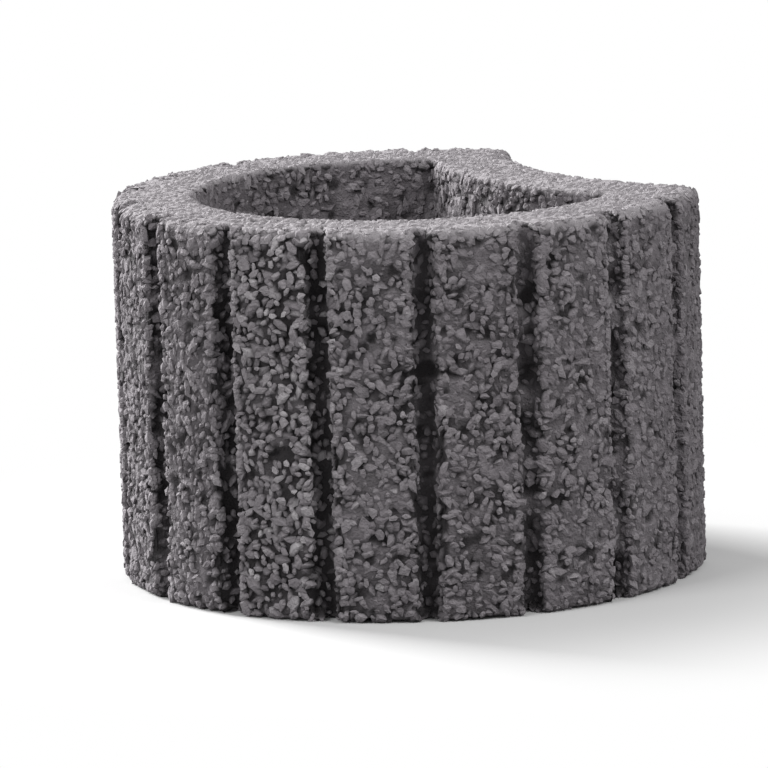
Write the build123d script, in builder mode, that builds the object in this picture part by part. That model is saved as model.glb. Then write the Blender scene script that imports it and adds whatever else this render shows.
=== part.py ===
from build123d import *
from math import acos, degrees
import os

# Planting ring: an open concrete ring for a planted garden wall, cast in one piece.
# Its round body has upright grooves. The body is cut off on one side by a hollow cheek, which has
# the body's own curve plus a nesting clearance.
#
# Frame: millimetres, +Z up, the ring stands on Z = 0.
# The origin is the centre of the round body, and the hollow cheek faces +X.

# Body
body_radius = 150.0
height = 195.0
wall = 44.0

# Hollow cheek, with its axis one laying pitch from the body's
row_pitch = 244.0
nest_clearance = 2.0
horn_rounding = 10.0

# Upright grooves, evenly spaced from horn to horn
rib_count = 14
groove_depth = 12.0
groove_mouth_radius = 5.7
groove_root_radius = 3.2
groove_shoulder = 2.6

# Rounded edges
top_edge_rounding = 8.0
foot_edge_rounding = 4.0
hollow_edge_rounding = 4.0
hollow_corner_rounding = 4.0

# How near an edge has to lie to the round body to count as on it
on_body = 0.01

# Sizes that follow from those above
cheek_radius = body_radius + nest_clearance
hollow_radius = body_radius - wall
hollow_cheek_radius = cheek_radius + wall
horn_x = (body_radius**2 + row_pitch**2 - cheek_radius**2) / (2 * row_pitch)
horn_angle = degrees(acos(horn_x / body_radius))
groove_step = (360 - 2 * horn_angle) / rib_count

# Groove section, with its mouth on the round body at the local origin
with BuildSketch() as groove:
    Circle(groove_mouth_radius)
    with Locations((groove_root_radius - groove_depth, 0)):
        Circle(groove_root_radius)
    make_hull()

# Ribbed column: the round body with the grooves straight through it, their shoulders rounded
with BuildPart() as ribbed_column:
    with BuildSketch():
        Circle(body_radius)
        with PolarLocations(
            body_radius,
            rib_count - 1,
            start_angle=horn_angle + groove_step,
            angular_range=(rib_count - 2) * groove_step,
            endpoint=True,
        ):
            add(groove.sketch, mode=Mode.SUBTRACT)
    extrude(amount=height)
    upright_edges = ribbed_column.edges().filter_by(Axis.Z)
    shoulders = upright_edges.filter_by(
        lambda edge: abs(Vector(edge.center().X, edge.center().Y).length - body_radius) < on_body
    )
    fillet(shoulders, radius=groove_shoulder)

# Blank: the round body less the cheek, with its outer edges rounded
with BuildPart() as planting_ring:
    with BuildSketch() as outline:
        Circle(body_radius)
        with Locations((row_pitch, 0)):
            Circle(cheek_radius, mode=Mode.SUBTRACT)
        fillet(outline.vertices().group_by(Axis.X)[-1], radius=horn_rounding)
    extrude(amount=height)
    fillet(planting_ring.faces().sort_by(Axis.Z)[-1].edges(), radius=top_edge_rounding)
    fillet(planting_ring.faces().sort_by(Axis.Z)[0].edges(), radius=foot_edge_rounding)
    add(ribbed_column.part, mode=Mode.INTERSECT)

    # Planting hollow, right through, a wall's thickness inside the outline all round
    with BuildSketch() as hollow:
        Circle(hollow_radius)
        with Locations((row_pitch, 0)):
            Circle(hollow_cheek_radius, mode=Mode.SUBTRACT)
        fillet(hollow.vertices(), radius=hollow_corner_rounding)
    extrude(amount=height, mode=Mode.SUBTRACT)
    top_face = planting_ring.faces().sort_by(Axis.Z)[-1]
    foot_face = planting_ring.faces().sort_by(Axis.Z)[0]
    fillet(top_face.inner_wires()[0].edges(), radius=hollow_edge_rounding)
    fillet(foot_face.inner_wires()[0].edges(), radius=hollow_edge_rounding)

os.makedirs("parts", exist_ok=True)
planting_ring.part.label = "planting_ring"
export_step(planting_ring.part, "parts/planting_ring.step")
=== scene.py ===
import bpy
import numpy as np
from mathutils import Matrix, Vector


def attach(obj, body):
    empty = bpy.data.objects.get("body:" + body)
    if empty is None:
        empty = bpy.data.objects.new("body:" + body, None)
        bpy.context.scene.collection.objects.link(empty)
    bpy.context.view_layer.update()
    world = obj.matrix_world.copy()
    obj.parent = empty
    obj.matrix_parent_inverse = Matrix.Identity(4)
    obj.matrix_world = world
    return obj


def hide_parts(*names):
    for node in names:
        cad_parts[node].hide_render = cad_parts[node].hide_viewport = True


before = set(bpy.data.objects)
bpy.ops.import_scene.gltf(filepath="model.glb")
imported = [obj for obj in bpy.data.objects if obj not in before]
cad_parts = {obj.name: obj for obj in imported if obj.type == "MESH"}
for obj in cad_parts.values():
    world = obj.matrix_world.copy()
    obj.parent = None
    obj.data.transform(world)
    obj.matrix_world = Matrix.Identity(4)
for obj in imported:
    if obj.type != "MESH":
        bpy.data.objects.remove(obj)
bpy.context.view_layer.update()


# The cast body
#
# The ring is one casting of lean open-pored concrete: hard grit of 3 to 7 mm under a thin coat of
# anthracite cement paste, tamped damp into a steel mould and pushed out at once. This piece is the
# paste-bound mass that shows between the grains of the skin, with the pores sunk in it.

# The ring's own sizes in millimetres, those of its CAD node. The body is round about the Z axis,
# and the cheek about an upright axis that stands at CHEEK_AXIS on the X axis.
BODY_RADIUS = 150.0
HEIGHT = 195.0
WALL = 44.0
CHEEK_AXIS = 244.0
CHEEK_RADIUS = 152.0
HORN_ROUNDING = 10.0
HOLLOW_CORNER = 4.0
TOP_ROUNDING = 8.0
FOOT_ROUNDING = 4.0
HOLLOW_ROUNDING = 4.0
RIBS = 14
GROOVE_DEPTH = 12.0
GROOVE_MOUTH = 5.7
GROOVE_ROOT = 3.2
GROOVE_SHOULDER = 2.6

# The grit has crumbled off the sharp top end of each groove's root, over about this radius
GROOVE_END_ROUNDING = 5.0

# How finely the skin is divided: intervals across a rib, round a horn and along the cheek, points
# on each arc of a groove's section and intervals down its flank, and rows up the outside, over an
# edge, across the top, round a hollow edge, down the inside and across the foot
RIB_STEPS = 16
HORN_STEPS = 7
CHEEK_STEPS = 60
GROOVE_ARC_POINTS = 3
FLANK_STEPS = 4
WALL_ROWS = 76
EDGE_ROWS = 8
TOP_ROWS = 12
HOLLOW_EDGE_ROWS = 3
INSIDE_ROWS = 60
FOOT_ROWS = 10

# The strip inside the outline, in millimetres, over which a rounded edge is worked out: just under
# the horns' radius there, and past the grooves elsewhere. It widens between these distances from a
# horn.
HORN_BAND = 9.5
GROOVE_BAND = 17.5
BAND_WIDENS = (2.0, 33.0)


def crossing(from_body, from_cheek):
    """The point on the +Y side that lies so far from the body's centre and so far from the cheek's.
    The difference of the two squared distances gives x, and the first distance then gives y."""
    x = (from_body**2 + CHEEK_AXIS**2 - from_cheek**2) / (2 * CHEEK_AXIS)
    return np.array([x, np.sqrt(from_body**2 - x**2)])


def on_circle(angle):
    """The directions at these angles, as unit vectors in plan."""
    return np.stack([np.cos(angle), np.sin(angle)], axis=-1)


def groove_half():
    """Half of a groove's section, as distances across and depths below the body's curve, from its
    edge to its root: the shoulder's arc, the straight flank that touches the mouth's circle and the
    root's, and the root's arc."""
    lean = np.arcsin((GROOVE_MOUTH - GROOVE_ROOT) / (GROOVE_DEPTH - GROOVE_ROOT))
    reach = GROOVE_MOUTH + GROOVE_SHOULDER
    shoulder_x = (reach - GROOVE_SHOULDER * np.sin(lean)) / np.cos(lean)
    round_shoulder = np.linspace(np.pi / 2, np.pi - lean, GROOVE_ARC_POINTS)
    round_root = np.linspace(lean, np.pi / 2, GROOVE_ARC_POINTS)
    across = [
        shoulder_x + GROOVE_SHOULDER * np.cos(round_shoulder),
        GROOVE_ROOT * np.cos(round_root),
    ]
    depth = [
        GROOVE_SHOULDER * (1 - np.sin(round_shoulder)),
        GROOVE_DEPTH - GROOVE_ROOT * (1 - np.sin(round_root)),
    ]
    flank = np.arange(1, FLANK_STEPS) / FLANK_STEPS
    across.insert(1, across[0][-1] + (across[1][0] - across[0][-1]) * flank)
    depth.insert(1, depth[0][-1] + (depth[1][0] - depth[0][-1]) * flank)
    return np.concatenate(across), np.concatenate(depth)


def outline(radius, corner, rounding, cheek, body_share):
    """A closed line round the ring in plan, anticlockwise, with its outward directions: the body's
    arc, a rounded corner, the cheek's arc run backwards, and the other corner. Each arc is its
    centre plus its radius times the direction at evenly or, on the body, unevenly spaced angles."""
    turn = np.arctan2(corner[1], corner[0])
    cheek_turn = np.arctan2(corner[1], CHEEK_AXIS - corner[0])
    body = on_circle(turn + (2 * np.pi - 2 * turn) * body_share)
    share = np.arange(1, HORN_STEPS) / HORN_STEPS
    low_corner = on_circle(-turn + (turn + cheek_turn) * share)
    high_corner = on_circle(-cheek_turn + (turn + cheek_turn) * share)
    share = np.linspace(1, -1, CHEEK_STEPS + 1)
    hollow_side = on_circle(np.pi + cheek_turn * share)
    points = [
        radius * body,
        corner * [1, -1] + rounding * low_corner,
        [CHEEK_AXIS, 0] + cheek * hollow_side,
        corner + rounding * high_corner,
    ]
    outward = [body, low_corner, -hollow_side, high_corner]
    return np.concatenate(points), np.concatenate(outward)


def ramp(values, low, high):
    """0 below low and 1 above high, with an S-curve between."""
    share = np.clip((values - low) / (high - low), 0, 1)
    return share * share * (3 - 2 * share)


def drop(inset, rounding):
    """How far a rounded edge lies under its face at this distance inside the outline: the height
    left over by a quarter circle."""
    left = np.maximum(rounding - inset, 0)
    return rounding - np.sqrt(rounding**2 - left**2)


# Stations along the body's arc: each groove's section, turned to its place, with plain ribs between
horn = crossing(BODY_RADIUS - HORN_ROUNDING, CHEEK_RADIUS + HORN_ROUNDING)
horn_tip = crossing(BODY_RADIUS, CHEEK_RADIUS)
first_angle = np.arctan2(horn[1], horn[0])
tip_angle = np.arctan2(horn_tip[1], horn_tip[0])
groove_angles = np.linspace(tip_angle, 2 * np.pi - tip_angle, RIBS + 1)[1:-1]
across, depth = groove_half()
across = np.concatenate([-across, across[-2::-1]])
depth = np.concatenate([depth, depth[-2::-1]])
in_groove = groove_angles[:, None] + np.arctan2(across, BODY_RADIUS - depth)
groove_inset = np.maximum(BODY_RADIUS - np.hypot(BODY_RADIUS - depth, across), 0)
rib_starts = np.append(first_angle, in_groove[:, -1])
rib_ends = np.append(in_groove[:, 0], 2 * np.pi - first_angle)
rib_share = np.arange(1, RIB_STEPS) / RIB_STEPS
on_ribs = rib_starts[:, None] + (rib_ends - rib_starts)[:, None] * rib_share
angles = np.concatenate([in_groove.ravel(), on_ribs.ravel(), [rib_starts[0], rib_ends[-1]]])
insets = np.concatenate([np.tile(groove_inset, RIBS - 1), np.zeros(on_ribs.size + 2)])
order = np.argsort(angles)
body_share = (angles[order] - first_angle) / (2 * np.pi - 2 * first_angle)

hollow_corner = crossing(
    BODY_RADIUS - WALL - HOLLOW_CORNER, CHEEK_RADIUS + WALL + HOLLOW_CORNER
)
outer, outer_way = outline(BODY_RADIUS, horn, HORN_ROUNDING, CHEEK_RADIUS, body_share)
inner, inner_way = outline(
    BODY_RADIUS - WALL, hollow_corner, HOLLOW_CORNER, CHEEK_RADIUS + WALL, body_share
)
inset = np.zeros(len(outer))
inset[: len(order)] = insets[order]

# Each station's distance along the arc from the nearer horn, in millimetres
from_horn = BODY_RADIUS * np.minimum(
    angles[order] - first_angle, 2 * np.pi - first_angle - angles[order]
)
band_width = np.full(len(outer), HORN_BAND)
band_width[: len(order)] += (GROOVE_BAND - HORN_BAND) * ramp(from_horn, *BAND_WIDENS)


def row(xy, z):
    """One or more rows of points round the ring, from places in plan and heights."""
    shape = np.broadcast_shapes(xy.shape[:-1], np.shape(z))
    return np.concatenate(
        [np.broadcast_to(xy, (*shape, 2)), np.broadcast_to(z, shape)[..., None]], axis=-1
    )


def inside_of(distance):
    """The outer line moved inwards by this distance, which may differ along it and by row."""
    return outer - np.asarray(distance)[..., None] * outer_way


def steps(count):
    """Shares from just over 0 to 1, one a row."""
    return (np.arange(1, count + 1) / count)[:, None]


def chance(cell, seed):
    """A number from 0 to 1 for each whole-numbered cell, the same each time: its coordinates are
    multiplied by large odd numbers, moved on by the seed that sets one use apart from another,
    mixed by shifts and cut to 32 bits."""
    mixed = cell[..., 0] * 374761393 + cell[..., 1] * 668265263 + cell[..., 2] * 1103515245
    mixed = (mixed + seed * 97531) & 0xFFFFFFFF
    mixed = ((mixed ^ (mixed >> 13)) * 1274126177) & 0xFFFFFFFF
    return (mixed ^ (mixed >> 16)) / 2**32


def drift(points, size, seed):
    """Smooth noise from -1 to 1: chance numbers on a lattice of this size, blended along S-curves."""
    cell = np.floor(points / size).astype(np.int64)
    part = points / size - cell
    part = part * part * (3 - 2 * part)
    total = 0
    for corner in np.ndindex(2, 2, 2):
        share = np.where(np.array(corner, bool), part, 1 - part).prod(axis=-1)
        total = total + share * chance(cell + corner, seed)
    return 2 * total - 1


def top_drop(distance):
    """How far the top edge lies under the top at this distance inside the round outline: the edge's
    own rounding, and at a groove's root the softened end of it."""
    softened = GROOVE_END_ROUNDING * ramp(inset, 0, TOP_ROUNDING)
    return np.maximum(drop(distance, TOP_ROUNDING), drop(distance - inset, softened))


# The rows go once round the wall's section: up the outside, over the top edge, across the top,
# round the hollow's edge, down the inside, and back across the foot
foot_z = drop(inset, FOOT_ROUNDING)
top_z = HEIGHT - top_drop(inset)
wall_share = np.vstack([[0], steps(WALL_ROWS)])
wall_z = foot_z + (top_z - foot_z) * wall_share

# Grit has caked in the grooves nearest the horns, up to this share of their depth: fully up to the
# first distance from a horn and not past the second, in patches of about this size that blend
# over these levels of the noise, and clear of the foot and the top by these heights
CAKED = 0.7
CAKED_FROM_HORN = (100, 232)
CAKED_PATCH = 13.0
CAKED_BLEND = (-0.7, 0.4)
CAKED_OVER_FOOT = (2, 14)
CAKED_UNDER_TOP = (4, 20)
near_horn = np.zeros(len(outer))
near_horn[: len(order)] = 1 - ramp(from_horn, *CAKED_FROM_HORN)
patchy = ramp(drift(row(outer, wall_z), CAKED_PATCH, 61), *CAKED_BLEND)
clear_of_ends = ramp(wall_z, *CAKED_OVER_FOOT) * ramp(HEIGHT - wall_z, *CAKED_UNDER_TOP)
caked = CAKED * near_horn * patchy * clear_of_ends

over_edge = 1 - np.cos(np.pi / 2 * steps(EDGE_ROWS))
over_top = inset + (band_width - inset) * over_edge
over_foot = inset + (band_width - inset) * over_edge[-2::-1]
round_hollow = np.pi / 2 * steps(HOLLOW_EDGE_ROWS)
hollow_mouth = inner + HOLLOW_ROUNDING * inner_way
band = inside_of(band_width)
across_top = steps(TOP_ROWS)[..., None]
across_foot = steps(FOOT_ROWS)[..., None]
sections = {
    "outside": row(inside_of(inset * (1 - caked)), wall_z),
    "top edge": row(inside_of(over_top), HEIGHT - top_drop(over_top)),
    "top": row(band + (hollow_mouth - band) * across_top, HEIGHT),
    "hollow top": row(
        inner + HOLLOW_ROUNDING * (1 - np.sin(round_hollow))[..., None] * inner_way,
        HEIGHT - HOLLOW_ROUNDING * (1 - np.cos(round_hollow)),
    ),
    "inside": row(
        inner, HEIGHT - HOLLOW_ROUNDING - (HEIGHT - 2 * HOLLOW_ROUNDING) * steps(INSIDE_ROWS)
    ),
    "hollow foot": row(
        inner + HOLLOW_ROUNDING * (1 - np.cos(round_hollow))[..., None] * inner_way,
        HOLLOW_ROUNDING * (1 - np.sin(round_hollow)),
    ),
    "foot": row(hollow_mouth + (band - hollow_mouth) * across_foot, 0.0),
    "foot edge": row(inside_of(over_foot), drop(over_foot, FOOT_ROUNDING)),
}
skin = np.concatenate(list(sections.values()))
ends = np.cumsum([len(part) for part in sections.values()])
first_row = dict(zip(sections, ends - [len(part) for part in sections.values()]))


def unit(vectors):
    """Vectors divided by their lengths."""
    return vectors / np.maximum(np.linalg.norm(vectors, axis=-1, keepdims=True), 1e-9)


# Outward directions: the cross product of the steps to the neighbours round and up
round_ring = np.roll(skin, -1, axis=1) - np.roll(skin, 1, axis=1)
up_section = np.roll(skin, -1, axis=0) - np.roll(skin, 1, axis=0)
skin_way = unit(np.cross(round_ring, up_section))


def from_seed(points, size, seed):
    """The distance to the nearest of many scattered seeds, one in each cell of this size, as a share
    of the cell."""
    cell = np.floor(points / size).astype(np.int64)
    nearest = np.full(points.shape[:-1], np.inf)
    for way in np.ndindex(3, 3, 3):
        other = cell + way - 1
        seeds = np.stack([chance(other, seed + k) for k in range(3)], axis=-1) + other
        nearest = np.minimum(nearest, np.linalg.norm(seeds - points / size, axis=-1))
    return nearest


# The tamping plate's dry film of fines, with painted light on the up-facing top, sets in and is whole
# where a face looks up by these shares
FILM_AND_TOP_LIGHT_SLOPE = (0.25, 0.8)


def film_on(way):
    """Where the tamping plate left a dry film of fines and top light is painted: 1 on the top and 0
    on upright faces.
    """
    return ramp(way[..., 2], *FILM_AND_TOP_LIGHT_SLOPE)


def from_front(points):
    """The angle at the body's axis between a place and the middle of the round front, from 0 there
    to pi at the middle of the cheek."""
    return np.abs(np.arctan2(points[..., 1], -points[..., 0]))


# The angles from the front, in radians, between which a horn's packing sets in, and how far short
# of the horns' tips the ribbed side ends
HORN_SETS_IN = (np.pi - 1.9, np.pi - 0.8)
SHORT_OF_TIP = 0.1


def by_horn(points):
    """How near a place lies to a horn, by its angle alone: 0 over the front and 1 at the horns."""
    return ramp(from_front(points), *HORN_SETS_IN)


def between_horns(points):
    """Whether a place lies on the ribbed side of the ring, a little clear of both horns' tips."""
    return from_front(points) < np.pi - tip_angle - SHORT_OF_TIP


# How closed the skin is by the horns, on the cheek and in the hollow, against 1 on the top, and the
# distances over which each sets in: from the body's axis, and from the cheek's and the hollow's face
CLOSED_BY_HORN, HORN_SKIN = 0.75, (116, 146)
CLOSED_ON_CHEEK, CHEEK_SKIN = 0.45, (1, 6)
CLOSED_IN_HOLLOW, HOLLOW_SKIN = 0.28, (0.5, 4)


def tamped(points, way):
    """How closed the skin is, from 0 on a rib to 1 on the tamped top: the way it faces, how near it
    lies to a horn, where the mould packs the grit tighter, and in part on the cheek and in the
    hollow, where plain steel wipes the paste over the grit as it is drawn."""
    x, y = points[..., 0], points[..., 1]
    from_body, from_cheek = np.hypot(x, y), np.hypot(x - CHEEK_AXIS, y)
    on_horn = by_horn(points) * ramp(from_body, *HORN_SKIN)
    to_hollow = np.maximum(from_body - BODY_RADIUS + WALL, CHEEK_RADIUS + WALL - from_cheek)
    in_hollow = 1 - ramp(to_hollow, *HOLLOW_SKIN)
    on_cheek = 1 - ramp(from_cheek - CHEEK_RADIUS, *CHEEK_SKIN)
    return np.maximum.reduce(
        [
            film_on(way),
            CLOSED_BY_HORN * on_horn,
            CLOSED_ON_CHEEK * on_cheek,
            CLOSED_IN_HOLLOW * in_hollow,
        ]
    )


# How much the film and the painted top light make the paste paler, how much darker it is where it
# lies thick over the grit, and between which degrees of tamping that sets in
FILM_AND_TOP_LIGHT_PALER = 0.18
THICK_DARKER = 0.13
THICK_FROM = (0.4, 0.8)


def skin_tone(points, way):
    """How much paler the paste is than on a rib: paler under the film of fines and the painted top
    light, and darker by the horns, where it is thickest over the grit."""
    film = film_on(way)
    return FILM_AND_TOP_LIGHT_PALER * film - THICK_DARKER * ramp(tamped(points, way) - film, *THICK_FROM)


# A groove's painted shade grows over these depths under the round face, down to this far past its
# root, and is less where a face looks up or down by these shares and over this height under the top
SHELTER_DEPTHS = (1.5, 8.0)
PAST_ROOT = 3
SHELTER_SLOPE = (0.3, 0.8)
SHELTER_UNDER_TOP = (0, 25)


def sheltered(points, way):
    """How far inside a groove a place lies, from 0 on a rib to 1 at the root: its depth under the
    round face, counted only on upright faces that lie between the horns. It sets where shade is
    painted in the grooves."""
    depth = BODY_RADIUS - np.hypot(points[..., 0], points[..., 1])
    in_groove = ramp(depth, *SHELTER_DEPTHS) * (depth < GROOVE_DEPTH + PAST_ROOT)
    upright = 1 - ramp(np.abs(way[..., 2]), *SHELTER_SLOPE)
    under_top = ramp(HEIGHT - points[..., 2], *SHELTER_UNDER_TOP)
    return in_groove * between_horns(points) * upright * under_top


# Chips lie in a strip that sets in and ends over these distances from a groove's middle, and whose
# edges wander by the first length in waves of the second. They are about this size and blend over
# these levels of the noise, set in over these depths under the top, and few are left by the horns.
CHIP_STRIP = (2.5, 4.5)
CHIP_END = (8.2, 9.8)
CHIP_WANDER = (1.2, 5.0)
CHIP_SIZE = 9.0
CHIP_BLEND = (0.05, 0.45)
CHIP_UNDER_TOP = (1, 8)
CHIPS_GONE_BY_HORN = 0.8


def chipped(points):
    """How far a groove's edge has crumbled, from 0 to 1: in patches about a centimetre long, over
    the strip from inside the groove to a little past its shoulder, clear of the top, and less
    towards the horns."""
    angle = np.arctan2(points[..., 1], points[..., 0]) % (2 * np.pi)
    step = groove_angles[1] - groove_angles[0]
    turn = (angle - groove_angles[0] + step / 2) % step - step / 2
    wander, wave = CHIP_WANDER
    aside = BODY_RADIUS * np.abs(turn) - wander * drift(points, wave, 73)
    loose = (1 - CHIPS_GONE_BY_HORN * by_horn(points)) * between_horns(points)
    strip = ramp(aside, *CHIP_STRIP) * (1 - ramp(aside, *CHIP_END)) * loose
    patchy = ramp(drift(points, CHIP_SIZE, 71), *CHIP_BLEND)
    return strip * patchy * ramp(HEIGHT - points[..., 2], *CHIP_UNDER_TOP)


# Short level tears in the skin, where a lift of the damp mix hung on the mould: the angle in
# degrees, the height, half the length and half the width in millimetres
TEARS = ((241.5, 124.0, 17.0, 2.9), (267.0, 56.0, 8.0, 2.8), (213.0, 84.0, 7.0, 2.4))

# A tear's height wanders by the first length in waves of the second, its edge blends over these
# shares of its half widths, and a chip is torn to this share of a tear
TEAR_WANDER = (1.2, 6.0)
TEAR_EDGE = (0.7, 1.3)
CHIP_TORN = 0.6


def torn(points):
    """1 in a tear of the outer skin, less on a chipped edge, and 0 away from both. A tear is a long
    flat oval round its middle, its height wandering a little."""
    angle = np.arctan2(points[..., 1], points[..., 0])
    wander, wave = TEAR_WANDER
    height = points[..., 2] + wander * drift(points, wave, 51)
    found = CHIP_TORN * chipped(points)
    for degrees, level, half_length, half_width in TEARS:
        turn = (angle - np.radians(degrees) + np.pi) % (2 * np.pi) - np.pi
        share = np.hypot(BODY_RADIUS * turn / half_length, (height - level) / half_width)
        found = np.maximum(found, 1 - ramp(share, *TEAR_EDGE))
    outside = np.hypot(points[..., 0], points[..., 1]) > BODY_RADIUS - GROOVE_DEPTH - 1
    return found * outside


# The middle of the lean rib, whose grains also get painted light, and how far from it the mix is
# leanest and usual again, in degrees
LEAN_AND_LIT_ANGLE = 212
LEAN_AND_LIT_REACH = (7, 19)


def lean_and_lit(points):
    """How lean the mix is, from 0 to 1: on one rib, to the left of the middle as the camera sees it,
    it had less paste, so that the grit stands out more there. The same rib's grains are painted
    paler, partly as painted light."""
    angle = np.degrees(np.arctan2(points[..., 1], points[..., 0])) % 360
    return 1 - ramp(np.abs(angle - LEAN_AND_LIT_ANGLE), *LEAN_AND_LIT_REACH)


# The paste's depth in millimetres on a rib, how much less it is where it is tamped, and how much
# more where it is lean
PASTE_DEPTH = 1.8
LESS_TAMPED = 0.8
MORE_LEAN = 0.6

# How far it goes up and down in millimetres, how much less where it is tamped, and over what length
PASTE_UNEVEN = 0.8
LESS_UNEVEN = 0.4
UNEVEN_LENGTH = 9.0

# Pores and rarer ones: the size of the cells in millimetres that each hold one, the shares of a cell
# between which its side slopes up, and its depth. Where it is tamped, a pore is this much shallower.
PORE_CELL, PORE_SIDE, PORE_DEPTH = 9.0, (0.16, 0.36), 1.5
RARE_CELL, RARE_SIDE, RARE_DEPTH = 23.0, (0.07, 0.16), 1.6
SHALLOWER_TAMPED = 0.5

# The depth of a tear, and the least that the paste lies under the mould's face anywhere
TEAR_DEPTH = 2.2
LEAST_DEPTH = 0.15


def paste_depth(points, way):
    """How many millimetres the paste between the grains lies under the mould's face: less where it
    is tamped, more where it is lean, uneven over a few grains, and deep in scattered pores and in
    the tears."""
    closed = tamped(points, way)
    level = PASTE_DEPTH - LESS_TAMPED * closed + MORE_LEAN * lean_and_lit(points)
    uneven = (PASTE_UNEVEN - LESS_UNEVEN * closed) * drift(points, UNEVEN_LENGTH, 11)
    pore = 1 - ramp(from_seed(points, PORE_CELL, 21), *PORE_SIDE)
    rare = 1 - ramp(from_seed(points, RARE_CELL, 31), *RARE_SIDE)
    pores = pore * PORE_DEPTH * (1 - SHALLOWER_TAMPED * closed)
    deep = pores + rare * RARE_DEPTH + torn(points) * TEAR_DEPTH
    return np.maximum(level + uneven + deep, LEAST_DEPTH)


MM = 0.001


def mesh_piece(name, points, faces, corners_uv, smooth, **values):
    """A piece from points in millimetres, faces of one size, a place on its own map for each face
    corner, smooth or facetted shading, and named numbers for each point."""
    mesh = bpy.data.meshes.new(name)
    mesh.vertices.add(len(points))
    mesh.vertices.foreach_set("co", (points * MM).astype(np.float32).ravel())
    mesh.loops.add(faces.size)
    mesh.loops.foreach_set("vertex_index", faces.astype(np.int32).ravel())
    mesh.polygons.add(len(faces))
    starts = np.arange(0, faces.size, faces.shape[1], dtype=np.int32)
    mesh.polygons.foreach_set("loop_start", starts)
    mesh.polygons.foreach_set("use_smooth", np.full(len(faces), smooth))
    mesh.update(calc_edges=True)
    for key, numbers in values.items():
        layer = mesh.attributes.new(key, "FLOAT", "POINT")
        layer.data.foreach_set("value", np.asarray(numbers, np.float32).ravel())
    uv = mesh.uv_layers.new(name="OFBake", do_init=False)
    uv.uv.foreach_set("vector", corners_uv.astype(np.float32).ravel())
    piece = bpy.data.objects.new(name, mesh)
    bpy.context.scene.collection.objects.link(piece)
    return piece


def ring_faces(rows, columns):
    """The four-cornered faces of a grid that closes on itself both ways, each with its corners'
    places on a flat map of the grid."""
    i, j = np.divmod(np.arange(rows * columns), columns)
    corners_i = i[:, None] + [0, 0, 1, 1]
    corners_j = j[:, None] + [0, 1, 1, 0]
    uv = np.stack([corners_j / columns, corners_i / rows], axis=-1)
    return corners_i % rows * columns + corners_j % columns, uv


def in_mould(points):
    """Points brought back inside the mould: under its top and over its floor, no further from the
    body's axis than its radius, and no nearer to the cheek's axis than the cheek's radius."""
    kept = points.copy()
    out = np.linalg.norm(kept[..., :2], axis=-1, keepdims=True)
    kept[..., :2] *= np.minimum(BODY_RADIUS / out, 1)
    from_cheek = kept[..., :2] - [CHEEK_AXIS, 0]
    out = np.linalg.norm(from_cheek, axis=-1, keepdims=True)
    kept[..., :2] = [CHEEK_AXIS, 0] + from_cheek * np.maximum(CHEEK_RADIUS / out, 1)
    kept[..., 2] = np.clip(kept[..., 2], 0, HEIGHT)
    return kept


# Painted light and shade, put into the colour: the light that reaches a point, none at this depth
# under the mould's face, and in a groove less by this share, for the walls that stand on both sides
# of it
DARK_DEPTH = 3.2
GROOVE_SHADE = 0.3


def lit(depth, points, way):
    """The painted light of places at these depths: 1 at the mould's face, falling evenly to 0, full
    painted shade, at the dark depth, and less inside a groove."""
    return np.clip(1 - depth / DARK_DEPTH, 0, 1) * (1 - GROOVE_SHADE * sheltered(points, way))


# The paste's own tone, and how far it goes paler and darker over a few millimetres
PASTE_TONE = 0.4
PASTE_TONE_DRIFT = 0.2
PASTE_TONE_LENGTH = 3.5

depth_of_paste = paste_depth(skin, skin_way)
body_points = in_mould(skin - depth_of_paste[..., None] * skin_way).reshape(-1, 3)
faces, faces_uv = ring_faces(*skin.shape[:2])
body = mesh_piece(
    "cast_body",
    body_points,
    faces,
    faces_uv,
    smooth=True,
    # Painted shade, by the paste's depth under the mould's face and in the grooves
    openness=lit(depth_of_paste, skin, skin_way),
    tone=PASTE_TONE
    + PASTE_TONE_DRIFT * drift(body_points, PASTE_TONE_LENGTH, 41)
    # with the film's paler tone, which is partly painted top light
    + skin_tone(skin, skin_way).ravel(),
    # the film of fines, which also carries painted top light
    film=film_on(skin_way),
)


def linear(hex_colour):
    """A colour written as sRGB hex, turned to linear light."""
    srgb = np.array([int(hex_colour[k : k + 2], 16) for k in (1, 3, 5)]) / 255
    return (*np.where(srgb <= 0.04045, srgb / 12.92, ((srgb + 0.055) / 1.055) ** 2.4), 1.0)


def add(tree, kind, inputs=(), **settings):
    """Adds one node with its settings. Each input is a value, or the socket that feeds it."""
    node = tree.nodes.new(kind)
    for name, value in settings.items():
        setattr(node, name, value)
    for name, value in dict(inputs).items():
        if isinstance(value, bpy.types.NodeSocket):
            tree.links.new(value, node.inputs[name])
        else:
            node.inputs[name].default_value = value
    return node


# Anthracite open-pored concrete: grit under a dry coat of iron-oxide-tinted cement. It looks dull and
# gritty, in slightly purple greys: the coat's own tone on a grain's crown, painted shade down to near
# black deeper in the pores and grooves, paler on the top under the film of fines and painted top
# light, with a sandy tooth and faint clouds of lime and damp. The sand is drawn a little coarse, so
# that it shows.
SAND_GRAIN = 1.3 * MM
COAT_PATCH = 4.0 * MM
CLOUD = 55 * MM
TOOTH_HEIGHT = 1.1 * MM
LUMP_HEIGHT = 2.0 * MM

# How much each of the three moves the tone of the coat, from its palest place to its darkest
COAT_VARIES, SAND_VARIES, CLOUDS_VARY = 0.28, 0.25, 0.3

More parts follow.
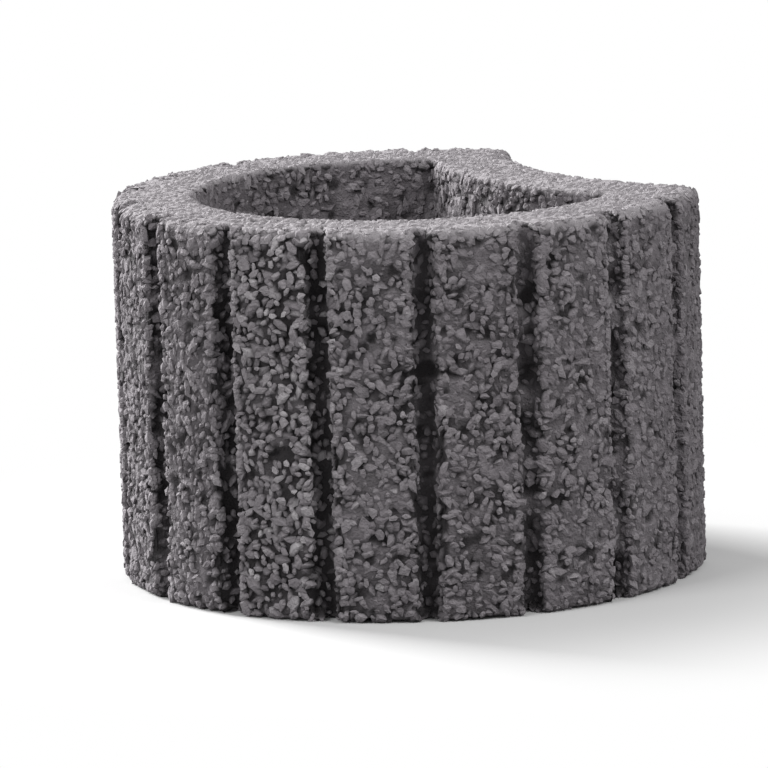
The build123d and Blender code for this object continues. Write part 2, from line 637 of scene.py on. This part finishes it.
# The coat from its darkest to its palest, the film of fines with painted top light, how much of the
# coat that hides, and the painted shade of the pores and grooves, which sets in between these degrees
# of painted light
COAT = ((0.0, "#575356"), (0.35, "#777276"), (0.7, "#969195"), (1.0, "#bcb8bb"))
FILM_AND_TOP_LIGHT_COLOUR = "#a09c9f"
FILM_AND_TOP_LIGHT_HIDES = 0.58
PAINTED_PIT_SHADE = "#2e2b2d"
PAINTED_SHADE_TO_COAT = (0.15, 0.8)

# The sockets of a Mix node set to colours: those that take the two colours, and the result's
MIX_FIRST, MIX_SECOND, MIX_RESULT = 6, 7, 2

concrete = bpy.data.materials.new("open_pored_anthracite_concrete")
concrete.use_nodes = True
tree = concrete.node_tree
tree.nodes.clear()
place = add(tree, "ShaderNodeTexCoord").outputs["Object"]
openness = add(tree, "ShaderNodeAttribute", attribute_name="openness").outputs["Fac"]
tone = add(tree, "ShaderNodeAttribute", attribute_name="tone").outputs["Fac"]
film = add(tree, "ShaderNodeAttribute", attribute_name="film").outputs["Fac"]
sand = add(
    tree,
    "ShaderNodeTexNoise",
    {"Vector": place, "Scale": 1 / SAND_GRAIN, "Detail": 2.0, "Roughness": 0.6},
).outputs["Fac"]
patches = add(
    tree,
    "ShaderNodeTexNoise",
    {"Vector": place, "Scale": 1 / COAT_PATCH, "Detail": 3.0, "Roughness": 0.65},
).outputs["Fac"]
clouds = add(
    tree,
    "ShaderNodeTexNoise",
    {"Vector": place, "Scale": 1 / CLOUD, "Detail": 2.0, "Roughness": 0.5},
).outputs["Fac"]

# The tone of the coat: each grain's own, moved a little by patches of the coat, sand and clouds
moved = tone
for source, amount in ((patches, COAT_VARIES), (sand, SAND_VARIES), (clouds, CLOUDS_VARY)):
    shift = add(
        tree, "ShaderNodeMath", {0: source, 1: amount, 2: -amount / 2}, operation="MULTIPLY_ADD"
    )
    moved = add(tree, "ShaderNodeMath", {0: moved, 1: shift.outputs[0]}).outputs[0]
coat = add(tree, "ShaderNodeValToRGB", {"Fac": moved})
while len(coat.color_ramp.elements) < len(COAT):
    coat.color_ramp.elements.new(0.5)
for stop, (position, colour) in zip(coat.color_ramp.elements, COAT):
    stop.position = position
    stop.color = linear(colour)
# The film of fines and painted top light, laid over the coat where a face looks up
film_and_top_light_share = add(tree, "ShaderNodeMath", {0: film, 1: FILM_AND_TOP_LIGHT_HIDES}, operation="MULTIPLY")
filmed = add(
    tree,
    "ShaderNodeMix",
    {
        "Factor": film_and_top_light_share.outputs[0],
        MIX_FIRST: coat.outputs["Color"],
        MIX_SECOND: linear(FILM_AND_TOP_LIGHT_COLOUR),
    },
    data_type="RGBA",
)
lit_share = add(
    tree,
    "ShaderNodeMapRange",
    {"Value": openness, "From Min": PAINTED_SHADE_TO_COAT[0], "From Max": PAINTED_SHADE_TO_COAT[1]},
    interpolation_type="SMOOTHSTEP",
)
# Painted shade: the coat turns to the dark colour where little light is painted
colour = add(
    tree,
    "ShaderNodeMix",
    {
        "Factor": lit_share.outputs[0],
        MIX_FIRST: linear(PAINTED_PIT_SHADE),
        MIX_SECOND: filmed.outputs[MIX_RESULT],
    },
    data_type="RGBA",
)

# The tooth of the sand, and the lumps of the coat under it
tooth = add(
    tree, "ShaderNodeBump", {"Height": sand, "Strength": 1.0, "Distance": TOOTH_HEIGHT}
)
lumps = add(
    tree,
    "ShaderNodeBump",
    {
        "Height": patches,
        "Strength": 0.7,
        "Distance": LUMP_HEIGHT,
        "Normal": tooth.outputs[0],
    },
)
shader = add(
    tree,
    "ShaderNodeBsdfPrincipled",
    {
        "Base Color": colour.outputs[MIX_RESULT],
        "Roughness": 0.93,
        "IOR": 1.5,
        "Normal": lumps.outputs[0],
    },
)
add(tree, "ShaderNodeOutputMaterial", {"Surface": shader.outputs[0]})


def finish(piece):
    """Gives a piece of the ring its concrete and its body."""
    piece.data.materials.append(concrete)
    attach(piece, "root")


finish(body)
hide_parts("planting_ring")


# The grains of the skin
#
# Crushed grit of 3 to 7 mm that the tamping pressed against the mould, so that each grain's outer
# side is flattened at the mould's face. They are held by the paste of the body behind them, and
# are missing over the pores.


def pebble():
    """A grain's first shape, the twenty-faced solid: a pole, two rings of five and a pole, all at
    distance 1. Returns its points and its faces, poles first and last."""
    ring_angle = np.arange(5) * 2 * np.pi / 5
    rings = [
        np.column_stack([2 * on_circle(ring_angle + turn), np.full(5, side)]) / np.sqrt(5)
        for turn, side in ((0, 1), (np.pi / 5, -1))
    ]
    k = np.arange(5)
    after = (k + 1) % 5
    faces = [
        [0 * k, 1 + k, 1 + after],
        [1 + k, 6 + k, 1 + after],
        [1 + after, 6 + k, 6 + after],
        [6 + k, 0 * k + 11, 6 + after],
    ]
    points = np.vstack([[0, 0, 1], *rings, [0, 0, -1]])
    return points, np.concatenate([np.stack(face, axis=-1) for face in faces])


def between(grid, i, j):
    """The grid's values at places between its rows and columns, blended from the four around."""
    low_i, low_j = np.floor(i).astype(int), np.floor(j).astype(int)
    part_i, part_j = (i - low_i)[:, None], (j - low_j)[:, None]
    rows, columns = grid.shape[:2]
    corner = [
        [grid[(low_i + a) % rows, (low_j + b) % columns] for b in (0, 1)] for a in (0, 1)
    ]
    near = corner[0][0] * (1 - part_j) + corner[0][1] * part_j
    far = corner[1][0] * (1 - part_j) + corner[1][1] * part_j
    return near * (1 - part_i) + far * part_i


# Lines of grains lie closer than the grains in a line, as packed rounds do, and each grain strays
# from its place by up to this share of the distance to the next
LINE_SPACING = 0.87
STRAY = 0.38


def strewn(start, stop, pitch, rng):
    """Places for grains from one row of the skin to another, as row and column numbers: lines of
    grains at even distances along the section, each with as many as its own length holds, all
    moved a little at random. Where rows crowd together, as over a groove's end, some are left out.
    The section is measured on a plain column, in the middle of a rib."""
    plain = int(np.flatnonzero(inset == 0)[RIB_STEPS // 2])
    rows = np.arange(start, stop + 1)
    line = skin[rows % len(skin), plain]
    along = np.append(0, np.cumsum(np.linalg.norm(np.diff(line, axis=0), axis=1)))
    lines = max(int(round(along[-1] / (LINE_SPACING * pitch))), 1)
    at = np.interp((np.arange(lines) + 0.5) * along[-1] / lines, along, rows)
    found = []
    for i in at:
        low = int(i)
        here = skin[low % len(skin)] * (1 - (i - low)) + skin[(low + 1) % len(skin)] * (i - low)
        gaps = np.linalg.norm(np.roll(here, -1, axis=0) - here, axis=1)
        length = np.append(0, np.cumsum(gaps))
        count = int(length[-1] / pitch)
        spots = np.arange(count) + rng.uniform(0, 1) + rng.uniform(-STRAY, STRAY, count)
        j = np.interp(spots * length[-1] / count % length[-1], length, np.arange(len(length)))
        found.append(np.column_stack([i + 0 * j, j]))
    i, j = np.concatenate(found).T
    step = np.linalg.norm(between(np.roll(skin, -1, axis=0) - skin, i, j), axis=1)
    usual = np.interp(i, rows[:-1] + 0.5, np.diff(along))
    i = i + rng.uniform(-STRAY, STRAY, len(i)) * LINE_SPACING * pitch / np.maximum(usual, 0.5)
    kept = rng.uniform(0, 1, len(i)) < step / np.maximum(usual, 1e-6)
    return i[kept], j[kept]


def under_face(points):
    """How many millimetres a point lies inside the nearest of the mould's plain faces: the round
    one, the cheek, the top and the floor."""
    x, y, z = np.moveaxis(points, -1, 0)
    round_face = BODY_RADIUS - np.hypot(x, y)
    cheek_face = np.hypot(x - CHEEK_AXIS, y) - CHEEK_RADIUS
    return np.minimum.reduce([round_face, cheek_face, HEIGHT - z, z])


# Half a grain's width before it is stretched, from the smallest to the largest, the power that
# makes small ones commoner, and how much it is stretched each way, least and most
GRAIN_HALF = (1.6, 3.6)
MORE_SMALL = 1.4
STRETCH_LEAST = [1.0, 0.7, 0.75]
STRETCH_MOST = [1.6, 1.05, 1.05]

# How far its points are moved in and out, as a share of its size, and how far it usually leans, in
# radians
FACETTED = 0.3
GRAIN_LEANS = 0.35

# How far under the mould's face its crown lies at most, how much less where it is tamped, the power
# that brings most crowns near the face, and how far it may be cut flat there
CROWN_UNDER = 1.5
CROWN_LESS_TAMPED = 0.8
MOST_NEAR_FACE = 1.5
CUT_FLAT = 0.5

# A grain is missing where it lies nearer than this to the middle of a pore, in shares of the pore's
# cell, apart from this share of the grains where it is tamped. None is left so near a rare pore's
# middle, or where the skin is torn by more than this.
PORE_BARE = (0.12, 0.3)
KEPT_TAMPED = 0.5
RARE_BARE = 0.12
TORN_BARE = 0.5

# The coat's tone on a grain and how much it differs from grain to grain, how much paler, partly as
# painted light, and more mixed it is where the mix is lean, and the share of grains that are paler,
# and by how much
GRAIN_TONE, GRAIN_TONE_SPREAD = 0.5, 0.08
LEAN_AND_LIT_PALER, LEAN_SPREAD = 0.17, 0.05
PALE_SHARE, PALER = 0.01, 0.2

# On a grain's square of the map, how far from the middle its two rings of points lie, and the place
# and the size of its underside
RING_REACH = (0.24, 0.44)
UNDERSIDE_AT, UNDERSIDE_REACH = 0.93, 0.06


def grains(name, places, rng):
    """One joined mesh of grains at these places of the skin. A grain is the twenty-faced solid with
    its points moved in and out, stretched, leaned and turned, set in the paste with its crown at the
    mould's face, and cut flat there."""
    i, j = places
    centre = between(skin, i, j)
    way = unit(between(skin_way, i, j))
    closed = tamped(centre, way)
    sound = from_seed(centre, PORE_CELL, 21) > rng.uniform(*PORE_BARE, len(i))
    sound = sound | (rng.uniform(0, 1, len(i)) < KEPT_TAMPED * closed)
    sound = sound & (from_seed(centre, RARE_CELL, 31) > RARE_BARE) & (torn(centre) < TORN_BARE)
    centre, way, closed = centre[sound], way[sound], closed[sound]
    count = len(centre)
    solid, solid_faces = pebble()
    least, most = GRAIN_HALF
    radius = (least + (most - least) * rng.uniform(0, 1, count) ** MORE_SMALL)[:, None]
    shape = solid * (1 + rng.uniform(-FACETTED, FACETTED, (count, len(solid), 1)))
    shape = shape * (radius * rng.uniform(STRETCH_LEAST, STRETCH_MOST, (count, 3)))[:, None]
    # Leaned about one side, then turned about the outward direction
    lean = rng.normal(0, GRAIN_LEANS, (count, 1))
    turn = rng.uniform(0, 2 * np.pi, (count, 1))
    x, y, z = np.moveaxis(shape, -1, 0)
    y, z = y * np.cos(lean) - z * np.sin(lean), y * np.sin(lean) + z * np.cos(lean)
    x, y = x * np.cos(turn) - y * np.sin(turn), x * np.sin(turn) + y * np.cos(turn)
    # Cut flat at the crown, which lies a little under the mould's face, less on the tamped top
    deepest = CROWN_UNDER - CROWN_LESS_TAMPED * closed[:, None]
    under = rng.uniform(0, 1, (count, 1)) ** MOST_NEAR_FACE * deepest
    proud = rng.uniform(0.0, CUT_FLAT, (count, 1))
    z = np.minimum(z - z.max(axis=1, keepdims=True) + proud, 0) - under
    side = unit(np.cross([0, 0, 1.0], way) + 1e-6)
    third = np.cross(way, side)
    points = in_mould(
        centre[:, None]
        + x[..., None] * side[:, None]
        + y[..., None] * third[:, None]
        + z[..., None] * way[:, None]
    )
    faces = solid_faces + len(solid) * np.arange(count)[:, None, None]
    # Each grain's own square of the map: seen from outside, with its hidden underside, which is its
    # last five faces, in a corner
    reach = np.repeat([0, *RING_REACH, 0], [1, 5, 5, 1])
    spread = solid[:, :2] / np.maximum(np.linalg.norm(solid[:, :2], axis=1, keepdims=True), 1e-6)
    flat = 0.5 + (reach[:, None] * spread)[solid_faces]
    flat[-5:] = UNDERSIDE_AT + UNDERSIDE_REACH * solid[solid_faces[-5:], :2]
    cells = int(np.ceil(np.sqrt(count)))
    cell = np.stack(np.divmod(np.arange(count), cells), axis=-1)
    uv = (cell[:, None, None] + flat) / cells
    lean_and_lit_share = lean_and_lit(centre)[:, None]
    differs = GRAIN_TONE_SPREAD + LEAN_SPREAD * lean_and_lit_share
    # Grains on the lean rib are paler: partly the lean mix, partly painted light on that rib
    own_tone = GRAIN_TONE + LEAN_AND_LIT_PALER * lean_and_lit_share + differs * rng.normal(size=(count, 1))
    own_tone = own_tone + PALER * (rng.uniform(size=(count, 1)) > 1 - PALE_SHARE)
    # Each point's depth under the mould's face sets the painted shade on the grain
    depth = np.minimum(-z, under_face(points))
    piece = mesh_piece(
        name,
        points.reshape(-1, 3),
        faces.reshape(-1, 3),
        uv.reshape(-1, 2),
        smooth=False,
        openness=lit(depth, centre[:, None], way[:, None]),
        tone=own_tone + np.minimum(skin_tone(centre, way), 0)[:, None] + 0 * z,
        # the film of fines, which also carries painted top light
        film=film_on(way)[:, None] + 0 * z,
    )
    finish(piece)


# The distance from grain to grain in millimetres: on the outside and the top, in the hollow, where
# few are seen, and under the foot
GRAIN_PITCH = 4.2
HOLLOW_PITCH = 4.5
FOOT_PITCH = 4.4

rng = np.random.default_rng(7)
outside = strewn(first_row["outside"], first_row["top edge"], GRAIN_PITCH, rng)
on_body = len(order)
round_part = outside[1] < on_body
left = outside[1] < on_body / 2
for name, chosen in (
    ("grains_of_left_ribs", round_part & left),
    ("grains_of_right_ribs", round_part & ~left),
):
    grains(name, (outside[0][chosen], outside[1][chosen]), rng)
cheek = (outside[0][~round_part], outside[1][~round_part])
top = strewn(first_row["top edge"], first_row["inside"], GRAIN_PITCH, rng)
both = tuple(np.concatenate(pair) for pair in zip(cheek, top))
grains("grains_of_cheek_and_top", both, rng)
inside = strewn(first_row["inside"], first_row["hollow foot"], HOLLOW_PITCH, rng)
grains("grains_of_hollow", inside, rng)
foot = strewn(first_row["hollow foot"], len(skin), FOOT_PITCH, rng)
grains("grains_of_foot", foot, rng)


# Floor, light and camera
#
# A plain pale studio floor that fades into white, a large soft box behind the ring and a small one
# on each side of the camera, and the camera where the photograph was taken from, turned to the ring
# with a longer lens.

# Half the floor's side, in metres
FLOOR = 6.0
floor_mesh = bpy.data.meshes.new("studio_floor")
floor_mesh.from_pydata(
    [(-FLOOR, -FLOOR, 0), (FLOOR, -FLOOR, 0), (FLOOR, FLOOR, 0), (-FLOOR, FLOOR, 0)],
    [],
    [(0, 1, 2, 3)],
)
floor = bpy.data.objects.new("studio_floor", floor_mesh)
bpy.context.scene.collection.objects.link(floor)


def in_view(tree):
    """1 for what the camera sees, in a mirror or through glass too, and 0 for light thrown about."""
    path = add(tree, "ShaderNodeLightPath")
    ways = [path.outputs[f"Is {kind} Ray"] for kind in ("Camera", "Glossy", "Transmission")]
    either = add(tree, "ShaderNodeMath", {0: ways[0], 1: ways[1]}, operation="MAXIMUM")
    return add(
        tree, "ShaderNodeMath", {0: either.outputs[0], 1: ways[2]}, operation="MAXIMUM"
    ).outputs[0]


# Matt white paper: it takes the ring's soft shadow, and turns to plain white away from the ring,
# over these distances in metres. It throws back less light than it shows, so that the ring's foot
# isn't lit from below.
PAPER_COLOUR = "#dcdcdc"
PAPER_THROWS = "#808080"
PAPER_TO_WHITE = (0.17, 0.36)
paper = bpy.data.materials.new("white_studio_paper")
paper.use_nodes = True
tree = paper.node_tree
tree.nodes.clear()
place = add(tree, "ShaderNodeTexCoord").outputs["Object"]
distance = add(tree, "ShaderNodeVectorMath", {0: place}, operation="LENGTH").outputs["Value"]
far = add(
    tree,
    "ShaderNodeMapRange",
    {"Value": distance, "From Min": PAPER_TO_WHITE[0], "From Max": PAPER_TO_WHITE[1]},
    interpolation_type="SMOOTHSTEP",
)
path = add(tree, "ShaderNodeLightPath")
thrown = add(
    tree,
    "ShaderNodeMix",
    {
        "Factor": path.outputs["Is Diffuse Ray"],
        MIX_FIRST: linear(PAPER_COLOUR),
        MIX_SECOND: linear(PAPER_THROWS),
    },
    data_type="RGBA",
)
matt = add(tree, "ShaderNodeBsdfDiffuse", {"Color": thrown.outputs[MIX_RESULT]})
white = add(tree, "ShaderNodeEmission", {"Color": (1, 1, 1, 1), "Strength": 1.0})
seen = add(
    tree, "ShaderNodeMath", {0: in_view(tree), 1: far.outputs[0]}, operation="MULTIPLY"
)
blend = add(
    tree, "ShaderNodeMixShader", {0: seen.outputs[0], 1: matt.outputs[0], 2: white.outputs[0]}
)
add(tree, "ShaderNodeOutputMaterial", {"Surface": blend.outputs[0]})
floor_mesh.materials.append(paper)

# The even light of the studio from all sides, which the camera sees as plain white
SKY_LIGHT, SKY_SEEN = 0.44, 1.0
world = bpy.data.worlds.new("studio")
bpy.context.scene.world = world
world.use_nodes = True
tree = world.node_tree
tree.nodes.clear()
level = add(
    tree,
    "ShaderNodeMapRange",
    {"Value": in_view(tree), "To Min": SKY_LIGHT, "To Max": SKY_SEEN},
)
sky = add(tree, "ShaderNodeBackground", {"Color": (1, 1, 1, 1), "Strength": level.outputs[0]})
add(tree, "ShaderNodeOutputWorld", {"Surface": sky.outputs[0]})

# The camera's place and the point that it and the lamps look at, in metres, and its roll
CAMERA = Vector((-1.6673, -2.7555, 0.6616))
AIM = Vector((-0.016, 0.0, 0.095))
ROLL = np.radians(1.63)


def aimed(place, target, roll=0.0):
    """The placement of a lamp or camera at a place, looking at a target, turned clockwise by roll."""
    turned = (target - place).to_track_quat("-Z", "Y").to_matrix().to_4x4()
    return Matrix.Translation(place) @ turned @ Matrix.Rotation(-roll, 4, "Z")


def soft_box(name, place, size, watts):
    """A square lamp that looks at the ring."""
    lamp = bpy.data.lights.new(name, "AREA")
    lamp.size = size
    lamp.energy = watts
    holder = bpy.data.objects.new(name, lamp)
    bpy.context.scene.collection.objects.link(holder)
    holder.matrix_world = aimed(Vector(place), AIM)


soft_box("key_soft_box", place=(-1.35, 4.37, 1.85), size=1.8, watts=540)
soft_box("left_fill_soft_box", place=(-1.68, -0.29, 1.51), size=0.8, watts=14.5)
soft_box("right_fill_soft_box", place=(0.56, -1.58, 1.51), size=0.8, watts=18.5)

lens = bpy.data.cameras.new("camera")
lens.sensor_width = 36
lens.lens = 300
camera = bpy.data.objects.new("camera", lens)
bpy.context.scene.collection.objects.link(camera)
camera.matrix_world = aimed(CAMERA, AIM, ROLL)
bpy.context.scene.camera = camera
bpy.context.scene.view_settings.view_transform = "Standard"
